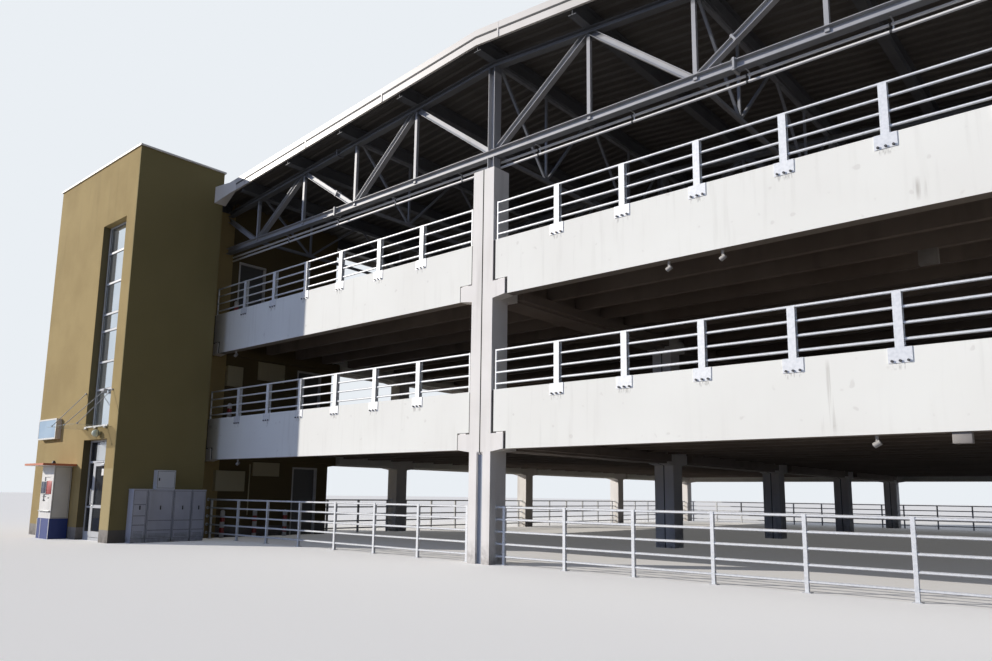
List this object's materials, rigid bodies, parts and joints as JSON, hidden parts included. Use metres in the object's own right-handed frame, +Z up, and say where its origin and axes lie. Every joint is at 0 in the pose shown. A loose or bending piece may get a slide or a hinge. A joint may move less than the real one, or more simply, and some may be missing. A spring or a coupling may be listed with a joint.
{
  "type": "multi storey car park",
  "caption": "Open-sided precast concrete parking decks under a gabled steel truss roof, with railings and a rendered stair tower with a glazed entrance door",
  "frame": {"origin": "centre of the foot of the front twin column, on the ground", "axes": "+X to the right along the front, +Y into the building, +Z up"},
  "size_m": [28.907, 36.438, 11.7877],
  "materials": {
    "painted_concrete": "warm white masonry paint on precast concrete",
    "bare_concrete": "bare grey precast concrete",
    "galvanised_steel": "dull hot-dip galvanised steel",
    "grey_steel": "light grey painted steel",
    "metal_deck": "trapezoidal sheet, grey-brown",
    "white_metal": "coil-coated white sheet",
    "grey_plinth": "grey cement render",
    "ochre_render": "fine ochre wall render",
    "clear_glass": "clear float glass",
    "door_aluminium": "light grey powder coat",
    "lit_plastic": "opal acrylic",
    "cabinet_metal": "light grey powder coat"
  },
  "bodies": {
    "building": {"front_twin_column": "painted_concrete", "front_corner_columns": "painted_concrete", "inner_columns": "painted_concrete", "rear_columns": "painted_concrete", "centre_beams": "painted_concrete", "deck_level_1": "bare_concrete", "deck_level_2": "bare_concrete", "front_parapets_level_1": "painted_concrete", "front_parapets_level_2": "painted_concrete", "rear_parapets": "painted_concrete", "side_parapets": "painted_concrete", "front_railings_level_1": "galvanised_steel", "front_railings_level_2": "galvanised_steel", "rear_railings": "galvanised_steel", "side_railings": "galvanised_steel", "front_fences": "galvanised_steel", "outer_fences": "galvanised_steel", "front_truss": "grey_steel", "inner_trusses": "grey_steel", "roof_bracing": "grey_steel", "purlins": "grey_steel", "roof_deck": "metal_deck", "fascia": "white_metal", "tower_front_wall_left": "ochre_render", "tower_front_wall_right": "ochre_render", "tower_front_bands": "ochre_render", "tower_right_wall": "ochre_render", "tower_core_wall": "ochre_render", "tower_back_wall": "ochre_render", "tower_plinth": "grey_plinth", "tower_slabs": "grey_plinth", "tower_coping": "white_metal", "slot_window_frame": "door_aluminium", "slot_window_glass": "clear_glass", "door_frame": "door_aluminium", "door_side_glass": "clear_glass", "deck_doors": "door_aluminium", "door_canopy": "clear_glass", "canopy_rods": "grey_steel", "lamps": "lit_plastic", "light_box": "lit_plastic", "pay_kiosk": "cabinet_metal", "utility_cabinets": "cabinet_metal"},
    "entrance_door": {"door_leaf": "door_aluminium", "door_leaf_glass": "clear_glass"}
  },
  "joints": [
    {"name": "entrance_door_hinge", "type": "hinge", "parent": "building", "child": "entrance_door", "pos_m": [-11.228, -3.088, 0.092], "axis": [0, 0, 1], "range_deg": [0, 90]}
  ]
}
